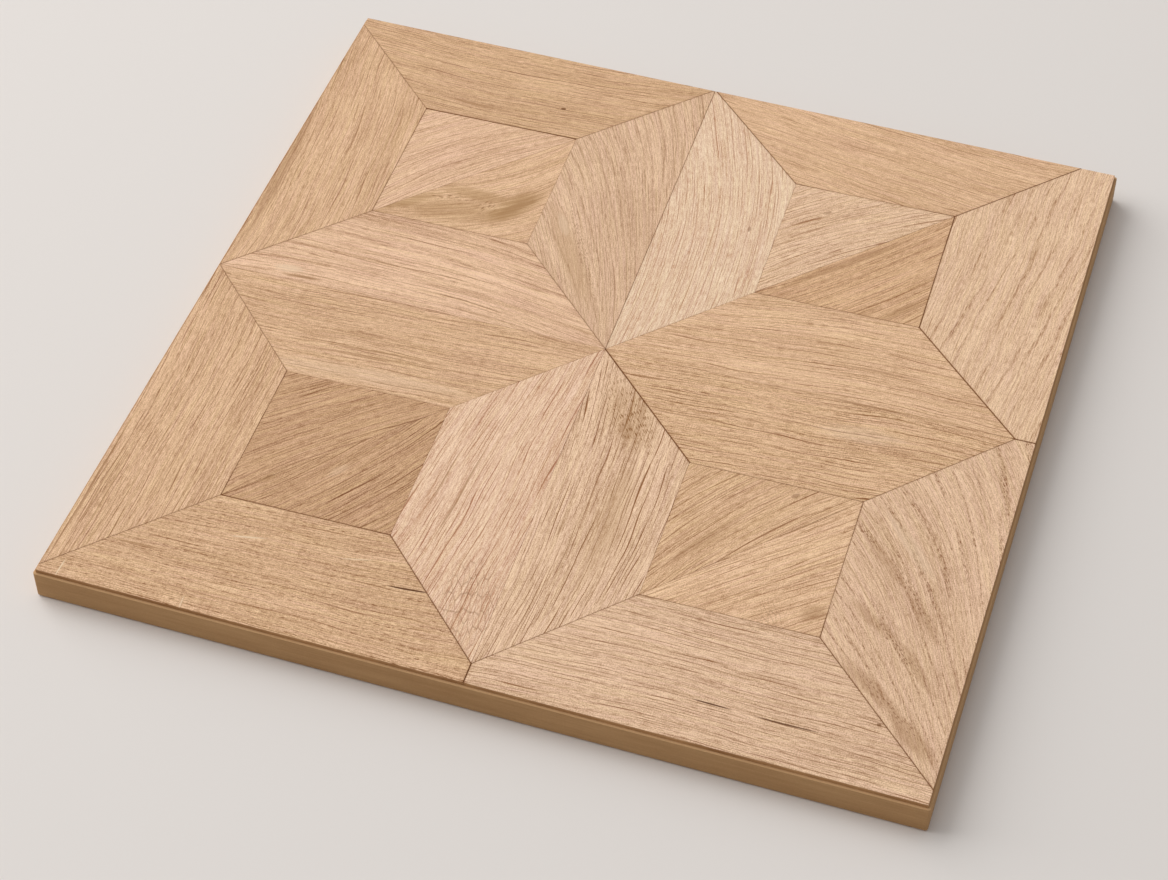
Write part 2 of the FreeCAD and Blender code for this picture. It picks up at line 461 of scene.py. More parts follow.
@dataclass(frozen=True)
class OakFinish:
    """Brushed oak under a matt clear oil.

    Attributes:
        tone: main tone.
        figure: how the grain runs.
        rings: how strongly the porous bands show.
        bands: how strongly broad bands of tone show.
        lift: levels by which the piece is lighter than its tone.
        pores: how strongly the pores show.
        pore_length: mm along the grain of one cell of pores.
        scatter: share of the pores that lie outside the early wood.
        lines: how strongly long dark lines show.
        crisp: contrast of everything fine.
        marks: marks in the wood.
    """

    tone: Tone
    figure: Figure
    rings: float = 0.12
    bands: float = 0.5
    lift: int = 0
    pores: float = 0.3
    pore_length: float = 8.0
    scatter: float = 0.25
    lines: float = 0.58
    crisp: float = 1.0
    marks: tuple = ()

    # Colours as a screen shows them, and steps from the tone to its darker and lighter sides.
    SAWN_DARK = (158, 112, 70)
    SAWN_LIGHT = (190, 144, 98)
    JOINT = (120, 66, 8)
    TO_PORE = (-78, -92, -98)
    TO_DARK = (-58, -66, -70)
    TO_ROSY = (34, 32, 36)
    TO_YELLOW = (33, 35, 30)

    # Patterns, and the coarse grit of the oiled face.
    BAND = Patch(150.0, 9.0, 1.7, detail=2.0)
    EARLY_BREAK = Patch(50.0, 4.0, 9.4)
    STREAK = Patch(38.0, 1.7, 4.1, detail=2.0)
    FIBRE = Patch(18.0, 0.6, 7.3)
    TICK = Patch(3.4, 0.42, 13.1, detail=0.0)
    GRIT = Patch(0.6, 0.6, 2.0)
    LINE_WAVER = Patch(90.0, 6.0, 5.9)
    LINE_BREAK = Patch(42.0, 1.7, 17.3)

    # Spacing of the long lines, mm, how many spacings they waver, and how much of a spacing one fills.
    LINE_SPACING = 1.7
    LINE_SWING = 2.5
    LINE_HALF = (0.13, 0.03)
    # Share of a ring by which bands push it, and levels of noise between which rings and lines fade in.
    RING_SWING = 1.4
    EARLY_FADE = (0.25, 0.6)
    LINE_FADE = (0.41, 0.6)
    # Weights of the patterns in the tone, the mean of the early wood, and what makes up for the dark in them.
    FINE_WEIGHTS = (0.62, 0.5, 0.75)
    BAND_WEIGHT = 0.85
    STREAK_WEIGHT = 0.11
    EARLY_MEAN = 0.2
    LIFT_BACK = 0.09
    # Share of the way from the dark side to the light side at which the tone itself lies, and dark of a joint.
    TONE_LEVEL = 0.57
    JOINT_DARK = 0.9
    # Cells of the pores: share of their length, width, shift. Share of the early wood that takes small ones.
    PORE_CELLS = ((1.0, 0.5, 11.9), (0.45, 0.45, 23.1))
    SMALL_PORES = 0.5
    # Relief of fibres and grit beside the pores, roughness and its play, and level of reflection.
    BUMP = {"Strength": 0.55, "Distance": 0.00012}
    FIBRE_RELIEF = 0.55
    GRIT_RELIEF = 0.3
    ROUGHNESS = 0.62
    PLAY = 0.2
    SPECULAR = 0.2

    @property
    def colour(self) -> tuple:
        """The tone with its lift."""
        return shifted(self.tone.value, (self.lift,) * 3)

    def grain(self, graph: Graph, middle: tuple) -> GrainField:
        """Lays the grain over the piece.

        Args:
            graph: nodes of the material.
            middle: the middle of the face, mm to the right, to the back and up.

        Returns:
            The coordinates of the grain.
        """
        place = graph.node("TexCoord").outputs["Object"]
        split = graph.node("SeparateXYZ", {}, {0: place})
        right, back, up = (Term(graph, split.outputs[i]) * (1.0 / MM) - middle[i] for i in range(3))
        along, across = turned(right, back, self.figure.heading)
        growth = self.figure.growth(along, self.figure.swayed(along, across), -1.0 * up)
        fibre = self.figure.swayed(along, across, 0.5)
        return GrainField(graph, right, back, along, fibre, growth, self.figure.seed)

    def material(self, name: str, middle: tuple) -> Material:
        """Makes the material of one piece.

        Args:
            name: name of the piece.
            middle: the middle of the face, mm to the right, to the back and up.

        Returns:
            The material.
        """
        graph = Surface(f"{name}_oak")
        grain = self.grain(graph, middle)

        band = grain.noise(grain.growth, self.BAND)
        early = self.figure.early_wood(grain.growth + (band - 0.5) * (self.RING_SWING * self.figure.ring))
        early = early * rise(grain.noise(grain.growth, self.EARLY_BREAK), *self.EARLY_FADE)
        streak, fibres, ticks = (grain.noise(grain.fibre, patch) for patch in (self.STREAK, self.FIBRE, self.TICK))
        grit = graph.noise(grain.spot(grain.right, grain.back, self.GRIT), self.GRIT.detail, roughness=0.5)
        large, small = (
            grain.dashes(grain.along, grain.fibre, Patch(share * self.pore_length, width, shift))
            for share, width, shift in self.PORE_CELLS)
        swing = grain.noise(grain.fibre, self.LINE_WAVER) * self.LINE_SWING
        phase = grain.fibre * (1.0 / self.LINE_SPACING) + swing
        broken = rise(grain.noise(grain.fibre, self.LINE_BREAK), *self.LINE_FADE)
        lines = rise(abs(fraction(phase) - 0.5), *self.LINE_HALF) * broken
        pores = large * (early + self.scatter) + small * (early * self.SMALL_PORES + self.scatter)
        dark = clamped(pores * (self.pores * self.crisp) + lines * (self.lines * self.crisp))

        fine = sum((part - 0.5) * weight for part, weight in zip((fibres, ticks, grit), self.FINE_WEIGHTS))
        shade = (band - 0.5) * (self.BAND_WEIGHT * self.bands) + (streak - 0.5) * self.STREAK_WEIGHT
        shade = shade + fine * self.crisp + self.LIFT_BACK - (early - self.EARLY_MEAN) * self.rings
        colour = self.tinted(graph, shade, streak)
        colour = graph.blend(dark, colour, linear(shifted(self.colour, self.TO_PORE)))
        for mark in self.marks:
            colour = self.marked(grain, colour, mark, middle, streak)
        colour = graph.blend(clamped(graph.attribute("rim") * self.JOINT_DARK), colour, linear(self.JOINT))
        sawn = graph.blend(clamped(streak * 2.0 - 0.5), linear(self.SAWN_DARK), linear(self.SAWN_LIGHT))
        colour = graph.blend(graph.attribute("sawn"), colour, sawn)

        relief = fibres * self.FIBRE_RELIEF - dark + grit * self.GRIT_RELIEF
        roughness = clamped(dark * self.PLAY + (0.5 - fibres) * self.PLAY + self.ROUGHNESS)
        return graph.shade(colour, roughness, self.SPECULAR, {**self.BUMP, "Height": relief})

    def tinted(self, graph: Graph, shade: Term, warmth: Term) -> NodeSocket:
        """Mixes the tone's dark and light sides: 0 gives the tone itself.

        Args:
            graph: nodes of the material.
            shade: below 0 for darker wood, above it for lighter.
            warmth: about 0 to 1, from rosy to yellow.

        Returns:
            The colour's socket.
        """
        dark, rosy, yellow = (linear(shifted(self.colour, to)) for to in (self.TO_DARK, self.TO_ROSY, self.TO_YELLOW))
        light = graph.blend(clamped(warmth * 2.0 - 0.5), rosy, yellow)
        return graph.blend(clamped(shade + self.TONE_LEVEL), dark, light)

    def marked(self, grain: GrainField, colour: NodeSocket, mark: Mark, middle: tuple,
               noise: Term) -> NodeSocket:
        """Lays one mark on the colour: a soft ellipse, frayed by noise.

        Its reach is (way along / length) squared plus (way across / width) squared.

        Args:
            grain: coordinates of the grain.
            colour: the colour so far.
            mark: the mark.
            middle: the middle of the face.
            noise: what frays its rim.

        Returns:
            The colour's socket.
        """
        look = mark.kind.value
        right, back = mark.right - middle[0], mark.back - middle[1]
        if mark.heading is None:
            own_along, own_across = turned(right, back, self.figure.heading)
            along, across = grain.along - own_along, grain.fibre - self.figure.swayed(own_along, own_across, 0.5)
        else:
            along, across = turned(grain.right - right, grain.back - back, mark.heading)
        way_along, way_across = along * (1.0 / mark.length), across * (1.0 / mark.width)
        reach = way_along * way_along + way_across * way_across + (noise - 0.5) * look.fray
        mask = rise(reach, 1.0, 1.0 - look.fade) * mark.strength
        if look.cell:
            pattern = grain.net if look.net else grain.dashes
            mask = mask * pattern(along, across, look.cell)
        return grain.graph.blend(mask, colour, linear(look.colour))


class Fit(Enum):
    """How well a joint closes: the share of a full hairline that shows."""

    TIGHT = 0.12
    SNUG = 0.5
    OPEN = 1.0
    WIDE = 1.7


@dataclass
class OakPiece:
    """One piece of the mosaic: a face with brushed relief, eased arrises and sawn sides.

    Attributes:
        name: CAD node that it stands for.
        finish: its oak.
        outer_ease: radius of the arris at the edge of the block, mm.
        joint_ease: radius of the arris at an open joint, mm.
        closing: mm by which a tight joint closes the hairline from each side.
        margin: mm between the arris and the grid of the face.
        row_step: mm between rows of the face, across the grain.
        column_step: mm between columns, along the grain.
        groove: depth of the brushed early wood, mm.
    """

    name: str
    finish: OakFinish
    outer_ease: float = 0.22
    joint_ease: float = 0.14
    closing: float = 0.09
    margin: float = 0.4
    row_step: float = 0.5
    column_step: float = 1.8
    groove: float = 0.02
    outline: np.ndarray = field(init=False)
    fits: list = field(init=False)
    foot: float = field(init=False)
    top: float = field(init=False)

    # Shares of the closing that a full hairline takes back, and of the joint's ease that a closed joint keeps.
    REOPENED = 0.45
    KEPT_EASE = 0.35
    LEAST_EASE = 0.02
    # Rings of the rim: share of the margin, turns of the arris as shares of a quarter, share of the side.
    MARGIN_RING = 0.55
    ARRIS_TURNS = (0.0, 0.35, 0.7, 1.0)
    SIDE_RING = 0.6
    # How dark the outer edge is beside a hairline, and mm over which the dark fades into the face.
    OUTER_RIM = 0.15
    RIM_REACH = 0.18
    # Relief: least depth, depth of the slow wave, its mm for a radian across and along, share of a ring brushed out.
    LEAST_DEPTH = 0.004
    WAVE_DEPTH = 0.02
    WAVE = (17.0, 60.0)
    BRUSHED = 0.9

    def __post_init__(self) -> None:
        """Reads the piece's corners and heights from its CAD node."""
        low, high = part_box(self.name)
        self.foot, self.top = low.z / MM, high.z / MM
        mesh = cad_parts[self.name].data
        places = np.empty(len(mesh.vertices) * 3, np.float32)
        mesh.vertices.foreach_get("co", places)
        places = places.reshape(-1, 3).astype(float) / MM
        corners = np.unique(places[places[:, 2] > self.top - 0.01][:, :2].round(3), axis=0)
        spokes = corners - corners.mean(0)
        self.outline = corners[np.argsort(np.arctan2(spokes[:, 1], spokes[:, 0]))]
        self.fits = [None] * len(self.outline)

    @property
    def middle(self) -> tuple:
        """The mean of the corners, and the top: mm to the right, to the back and up."""
        return (*(float(value) for value in self.outline.mean(0)), self.top)

    @property
    def side_middles(self) -> np.ndarray:
        """The middle of each side of the outline, mm."""
        return (self.outline + np.roll(self.outline, -1, 0)) / 2

    @property
    def normals(self) -> np.ndarray:
        """The inward normal of each side of the outline."""
        sides = np.roll(self.outline, -1, 0) - self.outline
        return np.stack([-sides[:, 1], sides[:, 0]], 1) / np.linalg.norm(sides, axis=1)[:, None]

    def inset(self, distances: np.ndarray) -> np.ndarray:
        """Moves each side of the outline inwards and meets the neighbours again.

        Corner i is where side i - 1 and side i meet: two line equations, n . p = n . corner + distance,
        with n the side's inward normal.

        Args:
            distances: mm for each side, below 0 for outwards.

        Returns:
            Corners of the new outline, as many as before.
        """
        normals = self.normals
        levels = (normals * self.outline).sum(1) + distances
        pairs = np.stack([np.roll(normals, 1, 0), normals], 1)
        ends = np.stack([np.roll(levels, 1), levels], 1)
        return np.linalg.solve(pairs, ends[:, :, None])[:, :, 0]

    def rows(self, corners: np.ndarray) -> np.ndarray:
        """Lays a grid on a convex outline: rows along its longest side, each from rim to rim.

        A row at height c runs from the left chain of corners to the right chain, both read off by linear
        interpolation in c, and its columns divide it evenly: a = left + u * (right - left).

        Args:
            corners: the outline, counterclockwise.

        Returns:
            Places of the grid, rows by columns by two.
        """
        sides = np.roll(corners, -1, 0) - corners
        longest = sides[np.argmax(np.linalg.norm(sides, axis=1))]
        along = longest / np.linalg.norm(longest)
        across = np.array([-along[1], along[0]])
        a, c = corners @ along, corners @ across
        low, high = c.min(), c.max()
        same_height = 0.02
        first = np.flatnonzero(c < low + same_height)
        last = np.flatnonzero(c > high - same_height)
        left = self.chain(a, c, first[np.argmin(a[first])], last[np.argmin(a[last])], -1)
        right = self.chain(a, c, first[np.argmax(a[first])], last[np.argmax(a[last])], 1)
        steps = np.linspace(low, high, int((high - low) / self.row_step) + 2)
        heights = np.unique(np.concatenate([steps, c]).round(4))
        start = np.interp(heights, left[:, 1], left[:, 0])
        end = np.interp(heights, right[:, 1], right[:, 0])
        columns = int((a.max() - a.min()) / self.column_step) + 2
        share = np.linspace(0.0, 1.0, columns)[None, :]
        grid_a = start[:, None] + share * (end - start)[:, None]
        grid_c = np.broadcast_to(heights[:, None], grid_a.shape)
        return grid_a[..., None] * along + grid_c[..., None] * across

    @staticmethod
    def chain(a: np.ndarray, c: np.ndarray, start: int, end: int, step: int) -> np.ndarray:
        """The corners' places a and c on the way from one corner to another, a step of 1 or -1 at a time."""
        order = (start + step * np.arange((end - start) * step % len(a) + 1)) % len(a)
        return np.stack([a[order], c[order]], 1)

    def relief(self, places: np.ndarray) -> np.ndarray:
        """Depth of the brushed face: the early wood's pulse plus a slow wave, sin(across) * sin(along).

        Args:
            places: mm to the right and to the back, in the last axis.

        Returns:
            mm below the top.
        """
        figure = self.finish.figure
        right, back = places[..., 0] - self.middle[0], places[..., 1] - self.middle[1]
        along, across = turned(right, back, figure.heading)
        growth = figure.growth(along, figure.swayed(along, across))
        turns = across / self.WAVE[0] + figure.seed, along / self.WAVE[1] + figure.seed
        wave = 0.5 + 0.5 * np.sin(turns[0]) * np.sin(turns[1])
        return self.LEAST_DEPTH + self.groove * figure.early_wood(growth, self.BRUSHED) + self.WAVE_DEPTH * wave

    def build(self) -> Object:
        """Makes the piece: the face as a grid, and the rim as a profile carried round it.

        The profile is a flat margin, a quarter round, out by sin(w) and down by 1 - cos(w) of the ease,
        and then the sawn side, straight down to the foot.

        Returns:
            The object.
        """
        show = np.array([1.0 if fit is None else fit.value for fit in self.fits])
        free = np.array([fit is None for fit in self.fits])
        closing = np.where(free, 0.0, self.closing * (1.0 - self.REOPENED * show))
        ease = np.where(free, self.outer_ease, self.joint_ease * (self.KEPT_EASE + (1.0 - self.KEPT_EASE) * show))
        outer, inner = self.inset(-closing), self.inset(self.margin + ease - closing)
        face = self.rows(inner)
        depth = self.relief(face)
        rows, columns = depth.shape
        numbers = np.arange(rows * columns).reshape(rows, columns)
        loop = np.concatenate([numbers[0, :-1], numbers[:-1, -1], numbers[-1, :0:-1], numbers[:0:-1, 0]])
        rim_inner = face.reshape(-1, 2)[loop]
        rim_outer = self.carry_out(rim_inner, inner, outer)
        width = np.linalg.norm(rim_outer - rim_inner, axis=1)
        local_ease = np.clip(width - self.margin, self.LEAST_EASE, self.outer_ease)
        flat = 1.0 - local_ease / width

        turn = np.array(self.ARRIS_TURNS) * (math.pi / 2)
        arris = flat[None, :] + np.sin(turn)[:, None] * (1.0 - flat)[None, :]
        ones = np.ones_like(flat)
        out = np.stack([self.MARGIN_RING * flat, *arris, ones, ones])
        fall = np.concatenate([[0.0], 1.0 - np.cos(turn), [0.0, 0.0]])
        heights = self.top - depth.reshape(-1)[loop][None, :] - fall[:, None] * local_ease[None, :]
        heights[-2] = self.foot + self.SIDE_RING * (self.top - self.foot)
        heights[-1] = self.foot
        places = rim_inner[None] + out[:, :, None] * (rim_outer - rim_inner)[None]
        rings, around = heights.shape

        top_points = np.concatenate([face.reshape(-1, 2), (self.top - depth).reshape(-1, 1)], 1)
        rim_points = np.concatenate([places, heights[..., None]], 2).reshape(-1, 3)
        foot_middle = np.array([[*self.middle[:2], self.foot]])
        points = np.concatenate([top_points, rim_points, foot_middle])

        quads = np.stack([numbers[:-1, :-1], numbers[:-1, 1:], numbers[1:, 1:], numbers[1:, :-1]], -1).reshape(-1, 4)
        levels = np.concatenate([loop[None, :], rows * columns + np.arange(rings * around).reshape(rings, around)])
        faces = [*quads.tolist(), *walls(levels), *cap(levels[-1], len(points) - 1)]

        distances = points[:, :2] @ self.normals.T - (self.normals * self.outline).sum(1)
        rim = (np.where(free, self.OUTER_RIM, show) * np.exp(-np.maximum(distances, 0.0) / self.RIM_REACH)).sum(1)
        side_start = rows * columns + len(turn) * around
        sawn = np.zeros(len(points))
        sawn[side_start:] = 1.0
        sawn[side_start - around:side_start] = 0.5
        return mesh_object(f"{self.name}_oak", points * MM, faces, {"rim": rim, "sawn": sawn})

    @staticmethod
    def carry_out(places: np.ndarray, inner: np.ndarray, outer: np.ndarray) -> np.ndarray:
        """Carries places on one outline to another, at the same share of the same side.

        Args:
            places: mm, on the sides of the inner outline.
            inner: its corners.
            outer: corners of the other outline.

        Returns:
            The places on the other outline.
        """
        sides = np.roll(inner, -1, 0) - inner
        lengths = np.linalg.norm(sides, axis=1)
        way = places[:, None, :] - inner[None]
        aside = np.abs(way[..., 0] * sides[:, 1] - way[..., 1] * sides[:, 0]) / lengths
        share = (way * sides).sum(-1) / lengths ** 2
        outside = np.maximum(np.maximum(-share, share - 1.0), 0.0) * lengths
        best = np.argmin(aside + outside, axis=1)
        share = share[np.arange(len(places)), best][:, None]
        return outer[best] * (1.0 - share) + np.roll(outer, -1, 0)[best] * share

    def dress(self, piece: Object) -> None:
        """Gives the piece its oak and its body.

        Args:
            piece: the built object.
        """
        piece.data.materials.append(self.finish.material(self.name, self.middle))
        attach(piece, "root")
        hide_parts(self.name)


def walls(rings: np.ndarray) -> list:
    """Faces between each ring of point numbers and the next."""
    following = np.roll(rings, -1, 1)
    return np.stack([rings[:-1], rings[1:], following[1:], following[:-1]], -1).reshape(-1, 4).tolist()


def cap(ring: np.ndarray, middle: int) -> list:
    """Faces from a ring of point numbers to a point in its middle."""
    return np.stack([ring, np.full(len(ring), middle), np.roll(ring, -1)], -1).tolist()


def mesh_object(name: str, points: np.ndarray, faces: list, layers: dict) -> Object:
    """Makes a closed smooth mesh with values on its points, and merges points that coincide.

    Args:
        name: name of the object.
        points: metres.
        faces: lists of point numbers.
        layers: values of each point by name of the attribute.

    Returns:
        The object, linked to the scene.
    """
    mesh = bpy.data.meshes.new(name)
    mesh.from_pydata(points, [], faces)
    for layer, values in layers.items():
        mesh.attributes.new(layer, "FLOAT", "POINT").data.foreach_set("value", values.astype(np.float32))
    shape = bmesh.new()
    shape.from_mesh(mesh)
    bmesh.ops.remove_doubles(shape, verts=shape.verts, dist=SAME_POINT)
    bmesh.ops.recalc_face_normals(shape, faces=shape.faces)
    shape.to_mesh(mesh)
    shape.free()
    mesh.shade_smooth()
    mesh.set_sharp_from_angle(angle=SHARP_EDGE)
    return placed(name, mesh)


def placed(name: str, data: ID) -> Object:
    """Makes an object and links it to the scene."""
    thing = bpy.data.objects.new(name, data)
    bpy.context.scene.collection.objects.link(thing)
    return thing


# Core board

@dataclass(frozen=True)
class CoreFinish:
    """Raw brown fibreboard: matt, finely speckled, faintly layered.

    Attributes:
        colour: as a screen shows it.
        fleck: lighter fibres.
        depth: darker fibres.
        lip: painted highlight, a lighter colour on the narrow ledge beside the oak where it faces up to the light.
    """

    colour: tuple = (180, 138, 93)
    fleck: tuple = (201, 163, 118)
    depth: tuple = (148, 109, 68)
    # Painted highlight: a lighter colour for the ledge beside the oak, which faces up to the light.
    lip: tuple = (200, 160, 116)

    # Noises: mm of a patch along x, y and z, and octaves. Weights of them in the tone.
    SPECKLE = ((0.7, 0.7, 0.35), 2.0)
    DRIFT = ((38.0, 38.0, 5.0), 3.0)
    LAYER = ((60.0, 60.0, 1.1), 2.0)
    WEIGHTS = (0.9, 1.2, 0.7)
    # Least strength of the painted highlight on the ledge, and the surface.
    LEAST_LEDGE_HIGHLIGHT = 0.4
    BUMP = {"Strength": 0.35, "Distance": 0.0001}
    ROUGHNESS = 0.8
    PLAY = 0.3
    SPECULAR = 0.25

    def material(self) -> Material:
        """Makes the material.

        Returns:
            The material.
        """
        graph = Surface("core_fibreboard")
        place = graph.node("TexCoord").outputs["Object"]
        noises = []
        for size, detail in (self.SPECKLE, self.DRIFT, self.LAYER):
            scale = tuple(1.0 / (MM * side) for side in size)
            vector = graph.node("Mapping", {}, {"Vector": place, "Scale": scale}).outputs[0]
            noises.append(graph.noise(vector, detail, "3D"))
        speckle, drift, layer = noises
        shade = sum((noise - 0.5) * weight for noise, weight in zip(noises, self.WEIGHTS))
        colour = graph.blend(clamped(shade + 0.5), linear(self.depth), linear(self.fleck))
        colour = graph.blend(0.5, colour, linear(self.colour))
        # Painted highlight on the core's top arris and ledge, lighter where they face up; the drift noise makes it
        # uneven.
        colour = graph.blend(clamped(graph.attribute("lip") * (drift + self.LEAST_LEDGE_HIGHLIGHT)), colour, linear(self.lip))
        roughness = clamped((speckle - 0.5) * self.PLAY + self.ROUGHNESS)
        return graph.shade(colour, roughness, self.SPECULAR, {**self.BUMP, "Height": speckle + layer})


@dataclass
class CoreBoard:
    """The core: a profile carried round the square of the board.

    Attributes:
        corner: radius of the upright edges, mm.
        least_corner: the same where the board is inset, at least.
        top_ease: radius of the arris under the oak, mm.
        foot_ease: radius of the arris at the floor, mm.
        corner_points: points round a corner.
        side_points: points on each straight side.
        ease_points: rings round an arris.
        finish: its material.
        name: CAD node that it stands for.
    """

    corner: float = 1.2
    least_corner: float = 0.2
    top_ease: float = 0.25
    foot_ease: float = 1.3
    corner_points: int = 7
    side_points: int = 60
    ease_points: int = 5
    finish: CoreFinish = CoreFinish()
    name: str = "core_board"

    def square(self, inset: np.ndarray) -> np.ndarray:
        """Points round a square with rounded corners, for several insets at once.

        With points as complex numbers, a corner is centre + radius * exp(i * w), w from 0 to a quarter turn, a
        side is a straight line on to the next corner, and both times 1, i, -1 and -i make the square.

        Args:
            inset: mm inwards from the edge of the board, one for each ring.

        Returns:
            Rings by points by two, mm, counterclockwise.
        """
        low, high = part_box(self.name)
        radius = np.maximum(self.corner - inset, self.least_corner)[:, None]
        centre = (high.x - low.x) / 2 / MM - inset[:, None] - radius
        corner = centre * (1 + 1j) + radius * np.exp(1j * np.linspace(0.0, math.pi / 2, self.corner_points))
        start, end = corner[:, -1:], corner[:, :1] * 1j
        side = start + np.linspace(0.0, 1.0, self.side_points + 2)[1:-1] * (end - start)
        ring = np.concatenate([np.concatenate([corner, side], 1) * turn for turn in (1, 1j, -1, -1j)], 1)
        return np.stack([ring.real, ring.imag], -1)

    def build(self) -> Object:
        """Makes the board from its foot up: foot arris, side, top arris, and the two faces.

        Returns:
            The object.
        """
        low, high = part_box(self.name)
        foot, top = low.z / MM, high.z / MM
        turn = np.linspace(0.0, math.pi / 2, self.ease_points)
        inset = np.concatenate([self.foot_ease * (1 - np.sin(turn)), self.top_ease * (1 - np.cos(turn))])
        height = np.concatenate([foot + self.foot_ease * (1 - np.cos(turn)),
                                 top - self.top_ease * (1 - np.sin(turn))])
        rings = self.square(inset)
        around = rings.shape[1]
        levels = np.broadcast_to(height[:, None, None], (len(inset), around, 1))
        points = np.concatenate([rings, levels], 2).reshape(-1, 3)
        points = np.concatenate([points, [[0.0, 0.0, foot], [0.0, 0.0, top]]]) * MM
        numbers = np.arange(len(inset) * around).reshape(len(inset), around)
        faces = [*walls(numbers), *cap(numbers[0], len(points) - 2), *cap(numbers[-1], len(points) - 1)]
        # Where the painted highlight goes: the top arris and the top face of the core.
        lip = np.concatenate([np.repeat(rise(height, top - self.top_ease, top), around), [0.0, 1.0]])
        return mesh_object("core_board_fibreboard", points, faces, {"lip": lip})

    def dress(self, piece: Object) -> None:
        """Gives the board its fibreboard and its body.

        Args:
            piece: the built object.
        """
        piece.data.materials.append(self.finish.material())
        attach(piece, "root")
        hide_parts(self.name)


# Studio

@dataclass(frozen=True)
class Studio:
    """A plain pale floor under soft light from the left, and the camera.

    Attributes:
        floor_colour: as a screen shows it.
        aim: point that the camera looks at, mm.
        azimuth: degrees that the camera stands to the right of the front.
        elevation: degrees above the floor.
        roll: degrees that the camera leans.
        distance: mm from the aim.
        lens: mm.
        sensor: width of the sensor, mm.
        floor_side: metres.
        dome: strength of the even light from all round.
    """

    floor_colour: tuple = (231, 225, 220)
    aim: tuple = (3.40, -50.54, 15.0)
    azimuth: float = 18.396
    elevation: float = 47.544
    roll: float = 0.199
    distance: float = 1244.8
    lens: float = 84.521
    sensor: float = 36.0
    floor_side: float = 8.0
    dome: float = 0.345

    def floor(self) -> None:
        """Lays the floor, one square."""
        corners = np.array([[-1, -1, 0], [1, -1, 0], [1, 1, 0], [-1, 1, 0]]) * (self.floor_side / 2)
        mesh = bpy.data.meshes.new("floor")
        mesh.from_pydata(corners, [], [[0, 1, 2, 3]])
        mesh.materials.append(Surface("floor").shade(linear(self.floor_colour), 0.9, 0.1))
        floor = placed("floor", mesh)

    def world(self) -> None:
        """Sets the even light from all round, and a pale backdrop behind the floor."""
        world = bpy.data.worlds.new("studio")
        bpy.context.scene.world = world
        world.use_nodes = True
        graph = Graph(world.node_tree)
        path = graph.node("LightPath")
        light = graph.node("Background", {}, {"Color": (1.0, 1.0, 1.0, 1.0), "Strength": self.dome})
        backdrop = graph.node("Background", {}, {"Color": linear(self.floor_colour), "Strength": 1.0})
        seen = np.maximum(*(Term(graph, path.outputs[ray]) for ray in ("Is Camera Ray", "Is Glossy Ray")))
        shown = graph.node("MixShader", {}, {0: seen, 1: light.outputs[0], 2: backdrop.outputs[0]})
        graph.node("OutputWorld", {}, {0: shown.outputs[0]})

    def lamp(self, name: str, azimuth: float, elevation: float, distance: float, side: float, watts: float) -> None:
        """Adds a soft box that looks at the block.

        Args:
            name: name of the lamp.
            azimuth: degrees to the right of the front.
            elevation: degrees above the floor.
            distance: metres from the block.
            side: metres, edge of the box.
            watts: power.
        """
        light = bpy.data.lights.new(name, "AREA")
        light.shape = "SQUARE"
        light.size = side
        light.energy = watts
        lamp = placed(name, light)
        back = self.direction(azimuth, elevation)
        lamp.location = back * distance
        lamp.rotation_mode = "QUATERNION"
        lamp.rotation_quaternion = (-back).to_track_quat("-Z", "Y")

    @staticmethod
    def direction(azimuth: float, elevation: float) -> Vector:
        """Unit vector from the block towards a place, by degrees to the right of the front and above the floor."""
        turn, lift = math.radians(azimuth), math.radians(elevation)
        return Vector((math.sin(turn) * math.cos(lift), -math.cos(turn) * math.cos(lift), math.sin(lift)))

    def camera(self) -> None:
        """Puts the camera at its azimuth, elevation and roll round the aim."""
        data = bpy.data.cameras.new("camera")
        data.sensor_width = self.sensor
        data.lens = self.lens
        camera = placed("camera", data)
        back = self.direction(self.azimuth, self.elevation)
        turn = (-back).to_track_quat("-Z", "Y").to_matrix().to_4x4()
        lean = Matrix.Rotation(math.radians(-self.roll), 4, "Z")
        place = Vector(self.aim) * MM + back * (self.distance * MM)
        camera.matrix_world = Matrix.Translation(place) @ turn @ lean
        bpy.context.scene.camera = camera

    def build(self) -> None:
        """Sets the whole stage."""
        self.floor()
        self.world()
        self.lamp("key", azimuth=-103.0, elevation=34.0, distance=5.0, side=5.6, watts=262.0)
        self.lamp("top", azimuth=-130.0, elevation=76.0, distance=5.0, side=4.0, watts=42.5)
        self.camera()
        bpy.context.scene.view_settings.view_transform = "Standard"


# The mosaic

